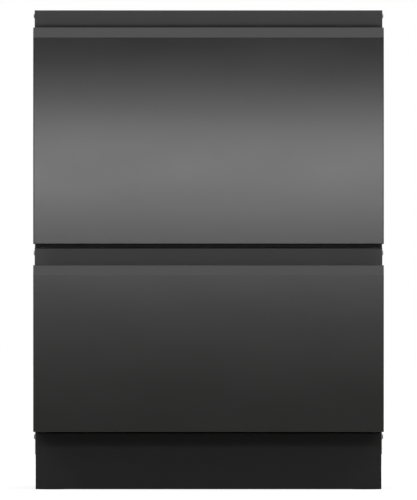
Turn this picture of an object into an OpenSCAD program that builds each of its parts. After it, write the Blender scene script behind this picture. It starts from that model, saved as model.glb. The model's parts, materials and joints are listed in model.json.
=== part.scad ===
// Double dishwasher drawer: two pull-out wash drawers in one under-bench chassis.
// Origin: centre of the footprint on the floor. +X is right, -Y is the front, +Z is up. Millimetres.

/* [Overall] */
// Width across the two drawer fronts
unit_w = 599; // [500:1:720]
// Height with the feet wound right in
unit_h = 820; // [690:1:985]
// Depth from the front faces to the back panel
unit_d = 573; // [480:1:688]

/* [Drawer fronts] */
// Floor to the bottom edge of the lower front
lower_front_z = 99; // [90:1:118]
// Floor to the bottom edge of the upper front
upper_front_z = 420; // [350:1:504]
// Dark gap between the lower console and the upper front
front_gap = 6; // [4:0.5:8]
// Thickness of a front, skin to back plate
front_t = 20; // [16.5:0.5:24]
// Height of the finger recess that shows above the lip
recess_h = 30; // [25:1:36]
// How far the back wall of the finger recess lies behind the front face
recess_d = 34; // [28:1:41]
// How far the finger recess goes down behind the lip
recess_sink = 24; // [20:1:29]
// Height of the leaning lip along the top of a front
lip_h = 17.5; // [15:0.5:21]
// How far the lip leans back
lip_lean = 8; // [6:0.5:10]
// Thickness of the steel skin
skin_t = 0.8; // [0.6:0.1:1]
// Depth of the console behind the finger recess
console_d = 26.5; // [24:0.5:32]
// Thickness of the console sheet
console_t = 1.5; // [1.2:0.1:1.8]
// Diameter of the console buttons
button_d = 14; // [11:0.5:17]
// Distance from the middle to each button
button_x = 205; // [170:1:240]

/* [Chassis] */
// Thickness of the chassis sheet
sheet = 1; // [0.8:0.1:1.2]
// Width of the folded edges of the side panels
fold_w = 12; // [10:0.5:12.5]
// Floor to the underside of the base tray
base_z = 60; // [50:1:70]
// How far the kick panel stands behind the fronts
kick_back = 60; // [50:1:72]
// Diameter of the foot screws
foot_screw_d = 12; // [10:1:14]
// Diameter of the foot pads
foot_pad_d = 46; // [38:1:54]
// How far the feet wind out
foot_travel = 60; // [50:1:60]
// Radius of the cabinet screw holes in the side panels
side_hole_r = 2.75; // [2.3:0.05:3.3]
// Distance between the two screw holes of a side
side_hole_span = 400; // [340:1:480]

/* [Runners] */
// Height of a runner
runner_h = 45; // [38:1:53]
// Thickness of a runner
runner_t = 12.7; // [12.7:0.1:15]
// Height of the runner's middle above the front's bottom edge
runner_z = 110; // [95:1:130]
// Diameter of the balls in the outer cage
ball_d = 4.8; // [4:0.1:5.6]
// Thickness of the runner steel
runner_sheet = 1.3; // [1.1:0.1:1.5]
// Centre distance of each link arm
link_len = 420; // [350:1:440]

/* [Tub and lid] */
// Wall thickness of the tub
tub_wall = 3; // [2.5:0.1:3.6]
// Corner radius of the tub
tub_corner = 45; // [38:1:54]
// Height of the tub's underside above the front's bottom edge
tub_lift = 42; // [41:1:50]
// Radius of the pump well
well_r = 95; // [80:1:105]
// Radius of the drain filter well
filter_r = 36; // [30:1:40]
// Thickness of the lid
lid_t = 16; // [14:1:19]
// Height of the lid seal below the lid
seal_h = 5; // [4.2:0.1:6]
// How far the lid comes down onto the tub
lid_lift = 8; // [6.5:0.1:9.5]

/* [Racks] */
// Diameter of the rack wires
wire_d = 4; // [3.4:0.1:4.8]
// Diameter of the rack's top rail
rail_d = 6; // [5:0.1:7]
// Distance between rack wires, front to back
wire_pitch_y = 40; // [34:1:48]
// Distance between rack wires, side to side
wire_pitch_x = 44; // [37:1:52]
// Distance between tines
tine_pitch = 30; // [25:1:36]
// Height of the upper rack
upper_rack_h = 150; // [125:1:170]
// Height of the lower rack
lower_rack_h = 82; // [70:1:88]
// Height of the tines
tine_h = 70; // [58:1:78]

/* [Hidden] */
$fn = 32;

// Clearances
gap = 0.3;          // between pieces that sit in or on each other
run_gap = 0.1;      // round a pin or shaft that turns
side_gap = 2.5;     // chassis side to the edge of the fronts, and fronts to the chassis edge

// Planes that the pieces share
half_w = unit_w / 2;
front_y = -unit_d / 2;
back_y = unit_d / 2;
chassis_x = half_w - side_gap;
inner_x = chassis_x - sheet;
chassis_y = front_y + recess_d + console_t + side_gap;

// Each drawer is [bottom edge of its front, top of its console, rack height]
UPPER = [upper_front_z, unit_h, upper_rack_h];
LOWER = [lower_front_z, upper_front_z - front_gap, lower_rack_h];
function bottom(d) = d[0];
function top(d) = d[1];

// Lid stack, down from the top of the console
lid_drop = 16;
function lid_top(d) = top(d) - lid_drop;
function lid_under(d) = lid_top(d) - lid_t;
function seal_under(d) = lid_under(d) - seal_h;
function rim(d) = seal_under(d) - lid_lift - gap;

// Runners stand on posts pressed into the side panels
post_t = fold_w;
post_w = 40;
rail_depth = 22;
rail_x = inner_x - post_t;
rail_in_x = rail_x - runner_t;
rail_y0 = chassis_y + 4;
rail_y1 = back_y - 4.5;
function runner_mid(d) = bottom(d) + runner_z;

// Tub
strip_t = 9;
tub_x = rail_in_x - gap - strip_t;
tub_y0 = front_y + recess_d + console_d + 4;
tub_y1 = back_y - 40.5;
tub_mid_y = (tub_y0 + tub_y1) / 2;
tub_w = 2 * tub_x;
tub_l = tub_y1 - tub_y0;
floor_t = 3.5;
floor_fillet = 28;
rim_w = 6;
function tub_under(d) = bottom(d) + tub_lift;
function tub_floor(d) = tub_under(d) + floor_t;
in_x = tub_x - tub_wall;
in_y0 = tub_y0 + tub_wall;
in_y1 = tub_y1 - tub_wall;

// Pump, spray arm and filter, up from the tub floor
well_depth = 15.5;
function well_floor(d) = tub_floor(d) - well_depth;
spindle_r = 5;
hub_r = 16;
arm_r = min(in_x, tub_l / 2 - tub_wall) - 13;
arm_low = 12.5;
arm_t = 12;
plate_t = 2;
filter_x = min(well_r + filter_r + 16, in_x - floor_fillet - filter_r - 6);

// Rack
rack_wall_gap = 16;
rack_x = in_x - rack_wall_gap;
rack_y0 = in_y0 + rack_wall_gap;
rack_y1 = in_y1 - rack_wall_gap;
rack_low = 40.5;
wire_r = wire_d / 2;
rail_r = rail_d / 2;
weld_gap = 0.05;    // between wires that are welded to each other
wire_bend = 12;
loop_bend = 8;
function rack_z(d) = tub_floor(d) + rack_low;
function cross_z(d) = rack_z(d) + wire_d + weld_gap;
function rack_top(d) = rack_z(d) + d[2];
rail_in = wire_r + rail_r + weld_gap;
mid_in = wire_d + weld_gap;
mid_up = 52;        // middle loop above the floor of the rack
row_inset = 13;     // first and last cross wire, in from the ends of the rack
side_rows = floor((rack_x - row_inset - 3) / wire_pitch_x);
rows_x = [for (i = [-side_rows : side_rows]) i * wire_pitch_x];
rows_y = [for (y = [rack_y0 + row_inset : wire_pitch_y : rack_y1 - row_inset]) y];
fold_row = 3;       // which of rows_y carries the folding tines
tine_x0 = -rack_x + 123;
tine_x1 = rack_x - 28;
tine_xs = [for (x = [tine_x0 : tine_pitch : tine_x1]) x];
eye_r = wire_r + 2.2;
fold_axis_up = wire_r + weld_gap + eye_r;
wire_top = 2.2;     // wire ends above the middle of the top rail
tine_side = wire_d + weld_gap;

// Dispenser in the tub's front wall
disp_w = 156;
disp_h = 77;
disp_drop = 18;
disp_depth = 24;
disp_lip = 5;
disp_face = 3;
flap_w = 68;
flap_h = 54;
cup_w = 58;
cup_h = 46;
flap_t = 2.6;
lug_t = 5;
lug_r = 2.4;
flap_pin_r = 1.2;
flap_x = -36;
cap_x = 42;
flap_y = in_y0 + disp_face + gap + flap_t / 2;
flap_axis_y = in_y0 + disp_face + gap + lug_r;
function disp_mid(d) = rim(d) - disp_drop - disp_h / 2;
function flap_hinge_z(d) = disp_mid(d) - flap_h / 2 - 3;

// Link: two arms, one above the other, between the chassis and the tub
link_w = 24;
link_t = 10;
link_gap = 2;
link_low = 10;
link_pin_r = 5;
link_x = -205;
link_back_y = back_y - 15.5;
link_tub_y = tub_y1 + 12;
link_angle = asin((link_back_y - link_tub_y) / 2 / link_len);
function link_z(d) = bottom(d) + link_low;

// Side panels, posts and cross rails
side_drop = 2;
side_hole_in = 22;
side_hole_z = (base_z + unit_h) / 2;
front_rail_y = tub_y0 + 10;
post_ys = [front_rail_y + rail_depth + 28, back_y - 90];
post_end = 45;

// Base, back step and feet
tray_h = 35;
tray_set_back = 16; // front of the base tray, behind the face of the kick panel
step_z = 104;
step_y = back_y - 29;
foot_x = inner_x - 27;
foot_front_y = front_y + kick_back + 38;
foot_rear_y = step_y - 32;
foot_pad_h = 12;
boss_r = foot_screw_d / 2 + 6;
plumb_y = step_y - gap;
service_z = base_z + 22;
inlet_r = 13.2;
inlet_x = -200;
drain_r = 9.5;
drain_x = -120;
gland_x = 180;
gland_r = 4.5;
spigot_l = 24;

// ---------- shared shapes ----------

// A box from its low corner to its high corner
module block(lo, hi) {
    translate(lo) cube(hi - lo);
}

module mirror_x() {
    children();
    mirror([1, 0, 0]) children();
}

// Extrudes a [y, z] outline along X
module along_x(x0, x1) {
    translate([x0, 0, 0]) rotate([90, 0, 90]) linear_extrude(x1 - x0) children();
}

// Extrudes an [x, z] outline along Y
module along_y(y0, y1) {
    translate([0, y1, 0]) rotate([90, 0, 0]) linear_extrude(y1 - y0) children();
}

function unit(v) = v / norm(v);
function turned(v, a) = [v[0] * cos(a) - v[1] * sin(a), v[0] * sin(a) + v[1] * cos(a)];
function arc(c, r, a0, a1, n) =
    [for (i = [0:n]) let (a = a0 + (a1 - a0) * i / n) c + r * [cos(a), sin(a)]];

// The points of a rounded rectangle, w by l, with its middle at the origin
function round_rect(w, l, r, n = 6) = concat(
    arc([w / 2 - r, l / 2 - r], r, 0, 90, n), arc([r - w / 2, l / 2 - r], r, 90, 180, n),
    arc([r - w / 2, r - l / 2], r, 180, 270, n), arc([w / 2 - r, r - l / 2], r, 270, 360, n));

// One bend of a folded sheet: the arc that rounds corner b between a and c
function bend(a, b, c, r, n) =
    let (u = unit(a - b), v = unit(c - b), half = acos(u * v) / 2,
         centre = b + unit(u + v) * r / sin(half), from = b + u * r / tan(half) - centre,
         way = u[0] * v[1] - u[1] * v[0] > 0 ? -1 : 1)
    [for (i = [0:n]) centre + turned(from, way * (180 - 2 * half) * i / n)];

// A path with every inner corner bent to radius r
function bent(p, r, n = 3) = [
    p[0], for (i = [1 : len(p) - 2]) each bend(p[i - 1], p[i], p[i + 1], r, n), p[len(p) - 1]];

function side_of(a, b) = let (v = unit(b - a)) [-v[1], v[0]];

// The path moved sideways by t, to its left
function beside(p, t) = [for (i = [0 : len(p) - 1])
    let (m = i == 0 ? side_of(p[0], p[1]) : side_of(p[i - 1], p[i]),
         n = i == len(p) - 1 ? m : side_of(p[i], p[i + 1]))
    p[i] + (m + n) * t / (1 + m * n)];

function reversed(p) = [for (i = [len(p) - 1 : -1 : 0]) p[i]];

// Cross-section of a sheet of thickness t folded along a path, on the path's left
module folded(p, t, r = 1.5, n = 3) {
    q = bent(p, r, n);
    polygon(concat(q, reversed(beside(q, t))));
}

// ---------- chassis ----------

// The right-hand side panel: a sheet folded inwards all round, with pressed beads and two runner posts
module side_panel() {
    low = base_z;
    high = unit_h - side_drop;
    fold_x = inner_x - fold_w;
    rear_y = back_y - sheet - gap;
    bead = 3;
    bead_deep = 0.8;
    bead_y0 = post_ys[0] + post_w / 2 + 14;
    bead_y1 = post_ys[1] - post_w / 2 - 14;
    bead_zs = [for (d = [LOWER, UPPER], f = [0.25, 0.5, 0.75])
        bottom(d) + f * (lid_under(d) - 30 - bottom(d))];
    notch_y = front_y + kick_back + tray_set_back;
    difference() {
        union() {
            translate([0, 0, low]) linear_extrude(high - low) folded(
                [[fold_x, chassis_y], [chassis_x, chassis_y], [chassis_x, rear_y], [fold_x, rear_y]], sheet, 2);
            block([fold_x, chassis_y + 3, high - sheet], [inner_x + sheet / 2, back_y - 4, high]);
            for (y = post_ys) post(y, low + post_end, runner_mid(UPPER) + post_end);
            for (z = bead_zs) block([inner_x - 2 * bead_deep, bead_y0 - 2, z - bead - 2],
                [inner_x + sheet / 2, bead_y1 + 2, z + bead + 2]);
        }
        for (z = [side_hole_z - side_hole_span / 2, side_hole_z + side_hole_span / 2])
            translate([inner_x - 20, chassis_y + side_hole_in, z]) rotate([0, 90, 0])
                cylinder(r = side_hole_r, h = 40);
        for (z = bead_zs) block([chassis_x - bead_deep, bead_y0, z - bead], [chassis_x + 1, bead_y1, z + bead]);
        block([fold_x - 1, chassis_y - 5, low - 1], [chassis_x + 1, notch_y, lower_front_z + 4]);
        block([fold_x - 1, back_y - 8, low - 1], [inner_x, back_y + 1, step_z + 5]);
    }
}

// A hat-shaped post that stands the runners off the side panel
module post(y, z0, z1) {
    root_x = inner_x + sheet / 2;
    face_x = rail_x + gap;
    half = post_w / 2;
    translate([0, 0, z0]) linear_extrude(z1 - z0) difference() {
        polygon([[root_x, y - half - 4], [face_x, y - half], [face_x, y + half], [root_x, y + half + 4]]);
        polygon([[root_x - sheet, y - half - 2], [face_x + sheet, y - half + 1.5],
                 [face_x + sheet, y + half - 1.5], [root_x - sheet, y + half + 2]]);
    }
}

module side_panel_left() { color("lightgray") mirror([1, 0, 0]) side_panel(); }
module side_panel_right() { color("lightgray") side_panel(); }

// Back panel: a flat sheet with pressed beads, above a folded plumbing plate that carries the lower link's pin
module back_panel() {
    high = unit_h - side_drop;
    face_y = back_y - sheet;
    bead_pitch = 120;
    bead = 4;
    bead_deep = 1.8;
    vent_pitch = 24;
    color("silver") difference() {
        union() {
            along_x(-inner_x + gap, inner_x - gap) folded([[step_y, base_z + 2], [step_y, step_z],
                [back_y, step_z]], -sheet, 2);
            block([-inner_x + gap, face_y, step_z + gap], [inner_x - gap, back_y, high]);
            for (z = [step_z + 70 : bead_pitch : high - 78]) along_x(-inner_x + 40, inner_x - 40)
                polygon([[face_y + sheet / 2, z - 2 * bead], [face_y - bead_deep, z - bead],
                         [face_y - bead_deep, z + bead], [face_y + sheet / 2, z + 2 * bead]]);
            link_pin(LOWER, step_z);
        }
        for (p = [[inlet_x, inlet_r + 4], [drain_x, drain_r + 4], [gland_x, gland_r + 7]])
            translate([p[0], step_y - 5, service_z]) rotate([-90, 0, 0]) cylinder(r = p[1], h = 12);
        for (x = [-180 : vent_pitch : 180])
            block([x - vent_pitch / 3, back_y - 10, high - 58], [x + vent_pitch / 3, back_y + 1, high - 54]);
    }
}

// Pedestal and pin that carry a link's rear arm
module link_pin(d, from) {
    translate([link_x, link_back_y, from + gap]) {
        cylinder(r = 9, h = link_z(d) - 2 * gap - from);
        cylinder(r = link_pin_r, h = link_z(d) + link_t + 1 - gap - from);
    }
}

// Drip tray that ties the chassis together at the bottom and takes the feet
module base_tray() {
    y0 = front_y + kick_back + tray_set_back;
    y1 = plumb_y;
    x1 = inner_x - fold_w - gap;
    tab_l = 40;
    tab_in = 20;
    color("gainsboro") difference() {
        union() {
            block([-x1, y0, base_z], [x1, y1, base_z + 1.5]);
            mirror_x() block([x1 - 1.5, y0, base_z], [x1, y1, base_z + tray_h]);
            block([-x1, y0, base_z], [x1, y0 + 1.5, base_z + tray_h]);
            for (x = [-160, 0, 160]) block([x - 1, y0, base_z], [x + 1, y1 - 100, base_z + 8]);
            mirror_x() for (y = [foot_front_y, foot_rear_y]) translate([foot_x, y, base_z])
                cylinder(r = boss_r, h = tray_h);
            mirror_x() for (y = [y0 + tab_in, y1 - tab_in - tab_l])
                block([x1 - 4, y, base_z + tray_h - 10], [inner_x - gap, y + tab_l, base_z + tray_h]);
        }
        mirror_x() for (y = [foot_front_y, foot_rear_y]) translate([foot_x, y, base_z - 1])
            cylinder(r = foot_screw_d / 2 + run_gap, h = tray_h + 2);
    }
}

// One cross rail: a folded channel between the side panels
module channel_rail(y0, y1, z1, h) {
    along_x(-inner_x + gap, inner_x - gap)
        folded([[y0, z1 - h], [y0, z1], [y1, z1], [y1, z1 - h]], -1.2, 1.5);
}

// Cross rails: front and rear of each drawer bay; the middle rear one carries the upper link's pin
module cross_rails() {
    y_rear = back_y - 36;
    color("silver") {
        for (d = [UPPER, LOWER]) channel_rail(front_rail_y, front_rail_y + rail_depth, top(d) - 3, 11);
        channel_rail(y_rear, y_rear + rail_depth, top(UPPER) - 3, 11);
        difference() {
            channel_rail(y_rear, back_y - sheet - 5, bottom(UPPER) + 8, 16);
            for (h = hoses) translate([h[0], hose_y, bottom(UPPER)]) cylinder(r = h[1] + 1.5, h = 20);
        }
        link_pin(UPPER, bottom(UPPER) + 8);
    }
}

// Kick panel: a folded strip behind the toe space
module kick_panel() {
    y = front_y + kick_back;
    z1 = lower_front_z - 2;
    z0 = 0.5;
    w = half_w - 3.5;
    edge = 14;
    kick_t = 1.5;
    color([0.13, 0.13, 0.13]) {
        along_x(-w, w) folded([[y + edge, z0], [y, z0], [y, z1], [y + edge, z1]], -kick_t, 2);
        mirror_x() block([w - kick_t, y + 1, z0 + 1], [w, y + edge, z1 - 1]);
        mirror_x() block([180, y + kick_t + gap, base_z + 6],
            [200, y + tray_set_back - gap, base_z + 22]);
    }
}

// A levelling foot: pad, neck and screw
module foot(x, y) {
    color("dimgray") translate([x, y, 0]) {
        cylinder(r1 = foot_pad_d / 2, r2 = foot_pad_d / 2 - 3, h = 5);
        translate([0, 0, 5]) cylinder(r1 = foot_pad_d / 2 - 3, r2 = 13, h = foot_pad_h - 5);
        cylinder(r = 11, h = foot_pad_h + 6, $fn = 6);
        cylinder(r = foot_screw_d / 2, h = base_z + foot_travel + 15);
    }
}
module foot_front_left() { foot(-foot_x, foot_front_y); }
module foot_front_right() { foot(foot_x, foot_front_y); }
module foot_rear_left() { foot(-foot_x, foot_rear_y); }
module foot_rear_right() { foot(foot_x, foot_rear_y); }

// ---------- runners ----------

// Cross-section of a runner member: a channel of half height h between x0 (its web) and x1 (its edges)
module runner_section(x0, x1, h) {
    t = x1 < x0 ? runner_sheet : -runner_sheet;
    folded([[x1, -h], [x0, -h], [x0, h], [x1, h]], t, 1.5);
}

fixed_h = runner_h / 2;
middle_h = fixed_h - runner_sheet - ball_d - 2 * run_gap;
inner_ball_d = 4;
inner_h = middle_h - runner_sheet - inner_ball_d - 2 * run_gap;
cage_t = 0.8;
ball_in = 0.3;      // balls, in from the edge of their strip
middle_web = rail_x - runner_sheet - cage_t - 2 * run_gap;
cage_web = middle_web - runner_sheet - run_gap;

module rail_pair(d, y0, y1) {
    translate([0, 0, runner_mid(d)]) mirror_x() along_y(y0, y1) children();
}

module fixed_rails() {
    color("silver") for (d = [UPPER, LOWER]) rail_pair(d, rail_y0, rail_y1)
        runner_section(rail_x, rail_in_x + 3.5, fixed_h);
}

// A retainer strip with a row of balls along its top and bottom edge
module ball_cage(x_web, x_edge, z_ball, r_ball, y0, y1, n) {
    rotate([90, 0, 0]) translate([0, 0, -y1]) linear_extrude(y1 - y0)
        folded([[x_edge, -z_ball - cage_t / 2], [x_web, -z_ball - cage_t / 2],
                [x_web, z_ball + cage_t / 2], [x_edge, z_ball + cage_t / 2]], cage_t, 1, 2);
    for (i = [0 : n - 1], s = [-1, 1])
        translate([x_edge + r_ball + ball_in, y0 + (i + 0.5) * (y1 - y0) / n, s * z_ball])
            sphere(r = r_ball, $fn = 24);
}

// The middle members with their ball cages
module middle_rails(d) {
    cage_l = 180;
    cage_in = 20;
    color("gainsboro") {
        rail_pair(d, rail_y0, rail_y1) runner_section(middle_web, rail_in_x + 1.7, middle_h);
        translate([0, 0, runner_mid(d)]) mirror_x() {
            ball_cage(rail_x - runner_sheet - run_gap, rail_in_x + 4,
                middle_h + run_gap + ball_d / 2, ball_d / 2, rail_y1 - cage_in - cage_l, rail_y1 - cage_in, 6);
            ball_cage(cage_web, rail_in_x + 2.2, inner_h + run_gap + inner_ball_d / 2,
                inner_ball_d / 2, rail_y0 + cage_in, rail_y0 + cage_in + cage_l, 6);
        }
    }
}

module inner_rails(d) {
    color("silver") rail_pair(d, rail_y0, tub_y1)
        runner_section(rail_in_x, cage_web - cage_t - run_gap, inner_h);
}

// ---------- drawer fronts ----------

// Outline of a front seen from its side, as a path in [y, z] from the bottom return to the foot of the hem
function skin_path(d) =
    let (lip_top = top(d) - recess_h, hem = lip_lean + 2.6)
    [[front_y + front_t - 1, bottom(d)], [front_y, bottom(d)], [front_y, lip_top - lip_h],
     [front_y + lip_lean, lip_top], [front_y + hem, lip_top], [front_y + hem, lip_top - recess_sink]];

// Steel skin: face, leaning lip, hem, bottom and side returns in one folded sheet
module front_skin(d) {
    lip_top = top(d) - recess_h;
    side = [[front_y + 1.2, bottom(d) + 1], [front_y + 1.2, lip_top - lip_h],
            [front_y + lip_lean + 1.2, lip_top - 1], [front_y + lip_lean + 2, lip_top - 1],
            [front_y + lip_lean + 2, lip_top - recess_sink], [front_y + front_t - 1, lip_top - recess_sink - 6],
            [front_y + front_t - 1, bottom(d) + 1]];
    color([0.27, 0.27, 0.28]) intersection() {
        union() {
            along_x(-half_w, half_w) folded(skin_path(d), -skin_t, 1.25, 4);
            mirror_x() along_x(half_w - skin_t, half_w) polygon(side);
        }
        translate([0, front_y + 50, bottom(d) - 1]) linear_extrude(top(d) - bottom(d))
            polygon(round_rect(unit_w, 100, 2.5, 5));
    }
}

// The console: back wall of the finger recess, control strip and rear flange in one folded sheet
function console_path(d) =
    let (y0 = front_y + recess_d, y1 = y0 + console_d)
    [[y0, pocket_z(d) - console_t], [y0, top(d)], [y1, top(d)], [y1, top(d) - 24]];
function pocket_z(d) = top(d) - recess_h - recess_sink;
button_y = front_y + recess_d + console_d / 2;
light_pitch = 18;
light_r = 1.5;
button_stem = 10;

// The folded sheet, and the strip welded to its foot as the floor of the finger recess
module console(d) {
    w = half_w - 2.2;
    w_in = inner_x - fold_w - 1;
    y0 = front_y + recess_d;
    color([0.25, 0.25, 0.26]) block([-w, front_y + lip_lean + 3.4, pocket_z(d) - console_t],
        [w, y0 - weld_gap, pocket_z(d)]);
    color([0.25, 0.25, 0.26]) difference() {
        union() {
            along_x(-w, w) folded(console_path(d), -console_t, 2.5, 4);
            mirror_x() block([w_in - console_t, y0 + 1, pocket_z(d) - 1],
                [w_in, y0 + console_d - 1, top(d) - 1]);
        }
        mirror_x() block([w_in, y0 + console_t + 1, pocket_z(d) - 5],
            [half_w, y0 + console_d + 1, top(d) + 1]);
        for (s = [-1, 1]) translate([s * button_x, button_y, top(d) - 5])
            cylinder(r = button_d / 2 + gap, h = 10);
        for (i = [-3 : 3]) translate([i * light_pitch, button_y, top(d) - 5]) cylinder(r = light_r, h = 10);
    }
}

// A push button with a collar that holds it in the console
module button(d, x) {
    color("dimgray") translate([x, button_y, top(d)]) {
        translate([0, 0, -5]) cylinder(r = button_d / 2, h = 5);
        translate([0, 0, -console_t - gap - 2]) cylinder(r = button_d / 2 + 1.5, h = 2);
        translate([0, 0, -button_stem]) cylinder(r = 3, h = 6);
    }
}

// The moulded frame inside a front: ribbed tray, wall inside the console, two brackets and a plate to the tub
module front_frame(d) {
    x_in = half_w - skin_t - gap;
    x_box = inner_x - fold_w - 1 - console_t - gap;
    y_skin = front_y + skin_t + gap;
    y_plate = front_y + recess_d - frame_t;
    y_rear = front_y + recess_d + console_d - console_t - gap;
    z_low = bottom(d) + skin_t + gap;
    z_shelf = pocket_z(d) - console_t - gap;
    lip_z = top(d) - recess_h - lip_h;
    z_rib = min(lip_z - 12, z_shelf);
    y_back = y_plate + frame_t + gap;
    y_tub = tub_y0 - gap;
    color([0.16, 0.16, 0.17]) {
        difference() {
            union() {
                block([-x_in, y_plate, z_low], [x_in, y_plate + frame_t, z_shelf]);
                mirror_x() block([x_in - frame_t, y_skin, z_low], [x_in, y_plate + frame_t, z_rib]);
                block([-x_in, y_skin, z_low], [x_in, y_plate + frame_t, z_low + frame_t]);
                block([-x_in, y_skin + lip_lean + 4, z_shelf - frame_t], [x_in, y_plate + frame_t, z_shelf]);
                for (x = [-240 : 80 : 240]) block([x - 1, y_skin, z_low], [x + 1, y_plate + 1, z_rib]);
                for (z = [z_low + 70 : 70 : z_rib - 30]) block([-x_in, y_skin, z], [x_in, y_plate + 1, z + 2]);
            }
            for (x = [-200 : 80 : 200])
                block([x - 25, y_plate - 1, z_low + 90], [x + 25, y_plate + 4, z_low + 120]);
        }
        block([-x_box, y_back, z_shelf - frame_t], [x_box, y_rear, z_shelf]);
        block([-x_box, y_rear - frame_t, z_shelf - 1], [x_box, y_rear, top(d) - console_t - 12]);
        for (s = [-1, 1]) translate([s * button_x, button_y, z_shelf - 1])
            cylinder(r = 5, h = top(d) - button_stem - 1.2 - z_shelf);
        mirror_x() {
            for (x = [150, 190]) block([x - 1.5, y_back, z_low + 6], [x + 1.5, y_tub, z_shelf - 12]);
            block([140, y_tub - 3, z_low + 50], [200, y_tub, z_shelf - 12]);
        }
        block([-tub_x + 10, y_back, z_low], [tub_x - 10, y_tub, z_low + frame_t]);
    }
}
frame_t = 2.5;

// ---------- tub ----------

// The closed outer or inner form of the tub, from z0 to z1, rounded along its floor
module tub_form(w, l, r, z0, z1, fillet) {
    hull() {
        for (a = [0 : 22.5 : 90]) let (side = fillet * (1 - cos(a)))
            translate([0, tub_mid_y, z0 + fillet * (1 - sin(a))]) linear_extrude(0.1)
                polygon(round_rect(w - 2 * side, l - 2 * side, max(r - side, 6), 4));
        translate([0, tub_mid_y, z1 - 0.1]) linear_extrude(0.1) polygon(round_rect(w, l, r, 4));
    }
}

module tub_ring(grow_out, grow_in, z0, z1) {
    translate([0, tub_mid_y, z0]) linear_extrude(z1 - z0) difference() {
        polygon(round_rect(tub_w + 2 * grow_out, tub_l + 2 * min(grow_out, 4), tub_corner + grow_out, 4));
        polygon(round_rect(tub_w + 2 * grow_in, tub_l + 2 * min(grow_in, 4), tub_corner + grow_in, 4));
    }
}

// Moulded tub: open box, folded rim, pump well, filter well, runner strips and the bracket for the link
module tub(d) {
    z0 = tub_under(d);
    z_floor = tub_floor(d);
    strip_h = 2 * inner_h - 2;
    strip_l = 40;
    bracket_z = link_z(d) + 2 * link_t + link_gap + gap;
    bracket_x = 20;
    well_h = well_depth + floor_t;
    well_z = well_floor(d) - floor_t;
    well_places = [[0, well_r], [filter_x, filter_r]];
    color([0.55, 0.57, 0.59]) difference() {
        union() {
            tub_form(tub_w, tub_l, tub_corner, z0, rim(d), floor_fillet + tub_wall);
            tub_ring(rim_w, -1, rim(d) - 2.5, rim(d));
            tub_ring(rim_w, rim_w - 2, rim(d) - 9, rim(d));
            for (p = well_places) translate([p[0], tub_mid_y, well_z])
                cylinder(r = p[1] + tub_wall, h = well_h);
            for (a = [45 : 90 : 315]) translate([0, tub_mid_y, z0 - 8]) rotate([0, 0, a])
                block([well_r, -1.5, 0], [well_r + 95, 1.5, 12]);
            mirror_x() for (y = [tub_y0 + 20, tub_mid_y - strip_l / 2, tub_y1 - 20 - strip_l])
                block([tub_x - 1, y, runner_mid(d) - strip_h / 2],
                    [rail_in_x - gap, y + strip_l, runner_mid(d) + strip_h / 2]);
            block([link_x - bracket_x, tub_y1 - 40, bracket_z],
                [link_x + bracket_x, tub_y1 - 1, z0 + floor_fillet]);
            block([link_x - bracket_x, tub_y1 - 40, bracket_z],
                [link_x + bracket_x, link_tub_y + 14, bracket_z + 4]);
        }
        tub_form(tub_w - 2 * tub_wall, tub_l - 2 * tub_wall, tub_corner - tub_wall, z_floor,
            rim(d) + 5, floor_fillet);
        for (p = well_places) translate([p[0], tub_mid_y, well_floor(d)])
            cylinder(r = p[1], h = well_depth + 1);
        block([-disp_w / 2 + disp_lip, tub_y0 - 5, disp_mid(d) - disp_h / 2 + disp_lip],
            [disp_w / 2 - disp_lip, in_y0 + 5, disp_mid(d) + disp_h / 2 - disp_lip]);
    }
    color([0.7, 0.7, 0.7]) translate([0, tub_mid_y, well_floor(d) - 1])
        cylinder(r = spindle_r, h = tub_floor(d) + arm_low + arm_t + 2 - well_floor(d) + 1);
}

// Stator of the wash pump, screwed up under the well
module wash_motor(d) {
    z1 = well_floor(d) - floor_t - gap;
    color([0.3, 0.3, 0.32]) translate([0, tub_mid_y, z1 - 17]) difference() {
        union() {
            rotate_extrude() polygon([[18, 0], [64, 0], [70, 4], [70, 13], [80, 13], [80, 17], [18, 17]]);
            for (a = [0 : 15 : 345]) rotate([0, 0, a]) block([69, -1, 3], [76, 1, 14]);
            for (a = [30 : 120 : 270]) rotate([0, 0, a]) translate([82, 0, 12]) cylinder(r = 8, h = 5);
            block([-16, -90, 5], [16, -66, 17]);
        }
        for (a = [30 : 120 : 270]) rotate([0, 0, a]) translate([84, 0, 10]) cylinder(r = 2, h = 10);
    }
}

// Spray arm with its hub, and the pump rotor under it, on one axis
module spray_arm(d) {
    z = tub_floor(d) + arm_low;
    color([0.62, 0.64, 0.66]) translate([0, tub_mid_y, z]) difference() {
        union() {
            linear_extrude(arm_t) for (s = [0, 180]) rotate(s) hull() {
                circle(r = 30);
                translate([arm_r - 18, -14]) circle(r = 16);
            }
            translate([0, 0, -arm_low + gap]) cylinder(r = hub_r, h = arm_low + arm_t);
            translate([0, 0, arm_t - 1]) cylinder(r1 = 24, r2 = 12, h = 6);
        }
        translate([0, 0, 3]) linear_extrude(arm_t - 6) for (s = [0, 180]) rotate(s) hull() {
            translate([40, -4]) circle(r = 20);
            translate([arm_r - 18, -14]) circle(r = 12);
        }
        translate([0, 0, -arm_low - 1]) cylinder(r = spindle_r + run_gap, h = 60);
        for (s = [0, 180], i = [0 : 5]) rotate([0, 0, s])
            translate([60 + i * (arm_r - 85) / 5, -5 - i * 1.6, arm_t - 4]) cylinder(r = 2, h = 6, $fn = 16);
    }
    color([0.2, 0.2, 0.22]) translate([0, tub_mid_y, well_floor(d) + 1]) difference() {
        union() {
            cylinder(r = well_r - 40, h = 5);
            cylinder(r = hub_r, h = well_depth - 1 - gap);
            for (a = [0 : 45 : 315]) rotate([0, 0, a]) block([14, -1.2, 4], [well_r - 46, 1.2, 10]);
        }
        translate([0, 0, -1]) cylinder(r = spindle_r + run_gap, h = 30);
    }
}

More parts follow.
